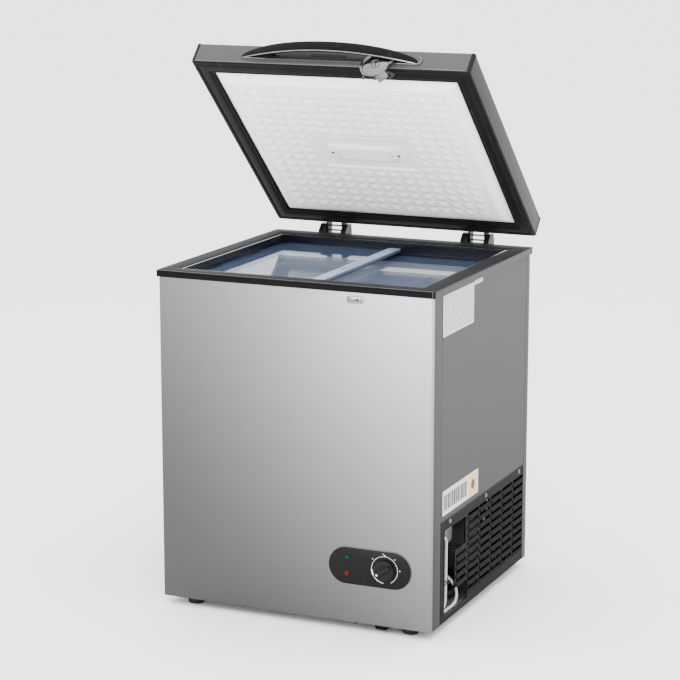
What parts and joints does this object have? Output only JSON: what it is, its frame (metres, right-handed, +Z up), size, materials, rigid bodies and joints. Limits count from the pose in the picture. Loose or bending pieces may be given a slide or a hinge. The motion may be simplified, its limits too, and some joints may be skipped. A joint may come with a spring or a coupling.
{
  "type": "chest freezer",
  "caption": "Chest freezer with a hinged insulated lid, sliding glass covers under it, a hanging basket, a dial thermostat and a louvred machine bay.",
  "frame": {"origin": "on the floor, under the middle of the freezer's box with the lid open, measured without the mains lead", "axes": "+Z up; the front panel faces -Y; the machine bay and its grille are on the +X side"},
  "size_m": [0.652, 0.675, 1.2436],
  "materials": {
    "front_steel": "satin brushed",
    "side_steel": "satin silver paint",
    "galvanised": "dull zinc",
    "rubber": "matte",
    "white_plastic": "semi-gloss",
    "coated_wire": "plastic-coated wire",
    "foam": "cut foam",
    "collar_grey": "satin",
    "black_plastic": "satin",
    "glass": "clear polished",
    "green_lens": "clear tinted",
    "red_lens": "clear tinted",
    "chrome": "polished",
    "black_paint": "satin enamel",
    "grey_plastic": "moulded",
    "copper": "drawn tube",
    "cord_grey": "satin sheath"
  },
  "bodies": {
    "cabinet": {"front_panel": "front_steel", "rear_panel": "side_steel", "left_side_panel": "side_steel", "right_side_panel": "side_steel", "bottom_pan": "galvanised", "machine_bay_shroud": "galvanised", "compressor_base_plate": "galvanised", "thermostat_body": "galvanised", "front_left_foot": "rubber", "front_right_foot": "rubber", "rear_left_foot": "rubber", "rear_right_foot": "rubber", "compressor_grommet_1": "rubber", "compressor_grommet_2": "rubber", "compressor_grommet_3": "rubber", "compressor_grommet_4": "rubber", "inner_liner": "white_plastic", "cabinet_foam": "foam", "rim_collar": "collar_grey", "glass_track_frame": "black_plastic", "control_panel": "black_plastic", "compressor_grille": "black_plastic", "mains_plug": "black_plastic", "run_light_lens": "green_lens", "power_light_lens": "red_lens", "strike_plate": "chrome", "left_hinge_pin": "chrome", "right_hinge_pin": "chrome", "compressor": "black_paint", "left_hinge_bracket": "black_paint", "right_hinge_bracket": "black_paint", "terminal_box": "grey_plastic", "suction_line": "copper", "discharge_line": "copper", "filter_drier": "copper", "evaporator_coil": "copper", "condenser_coil": "copper", "cord_strain_relief": "cord_grey", "mains_cord": "cord_grey", "cord_hank": "cord_grey", "mains_cord_tail": "cord_grey"},
    "lid": {"lid_shell": "side_steel", "lid_gasket": "rubber", "lid_liner": "white_plastic", "lid_foam": "foam", "lid_lamp_cover": "white_plastic", "handle_base": "black_plastic", "handle_grip": "black_plastic", "lock_body": "chrome", "left_hinge_arm": "black_paint", "right_hinge_arm": "black_paint"},
    "left_cover": {"left_glass_pane": "glass", "left_pane_rail": "white_plastic"},
    "right_cover": {"right_glass_pane": "glass", "right_pane_rail": "white_plastic"},
    "basket": {"wire_basket": "coated_wire"},
    "knob": {"thermostat_knob": "black_plastic"},
    "lock_barrel": {"lock_cylinder": "chrome"},
    "hook": {"lock_hook": "chrome"},
    "drain_stopper": {"drain_plug": "rubber"}
  },
  "joints": [
    {"name": "lid_hinge", "type": "hinge", "parent": "cabinet", "child": "lid", "pos_m": [0, 0.31876, 0.745], "axis": [-1, 0, 0], "range_deg": [-43, 32]},
    {"name": "left_cover_slide", "type": "slide", "parent": "cabinet", "child": "left_cover", "axis": [1, 0, 0], "range_m": [0, 0.25]},
    {"name": "right_cover_slide", "type": "slide", "parent": "cabinet", "child": "right_cover", "axis": [1, 0, 0], "range_m": [-0.245, 0]},
    {"name": "basket_slide", "type": "slide", "parent": "cabinet", "child": "basket", "axis": [1, 0, 0], "range_m": [-0.16, 0.135]},
    {"name": "thermostat_turn", "type": "hinge", "parent": "cabinet", "child": "knob", "pos_m": [0.214, -0.32824, 0.1465], "axis": [0, 1, 0], "range_deg": [0, 290]},
    {"name": "key_turn", "type": "hinge", "parent": "lid", "child": "lock_barrel", "pos_m": [0.118, -0.13966, 1.18889], "axis": [0, 0.7314, -0.682], "range_deg": [0, 90]},
    {"name": "hook_turn", "type": "hinge", "parent": "lid", "child": "hook", "pos_m": [0.118, -0.13966, 1.18889], "axis": [0, 0.7314, -0.682], "range_deg": [0, 22]},
    {"name": "drain_plug_pull", "type": "slide", "parent": "cabinet", "child": "drain_stopper", "axis": [0, 0, 1], "range_m": [0, 0.025]}
  ],
  "couplings": [
    {"joint": "hook_turn", "follows": "key_turn", "ratio": 0.24444}
  ]
}
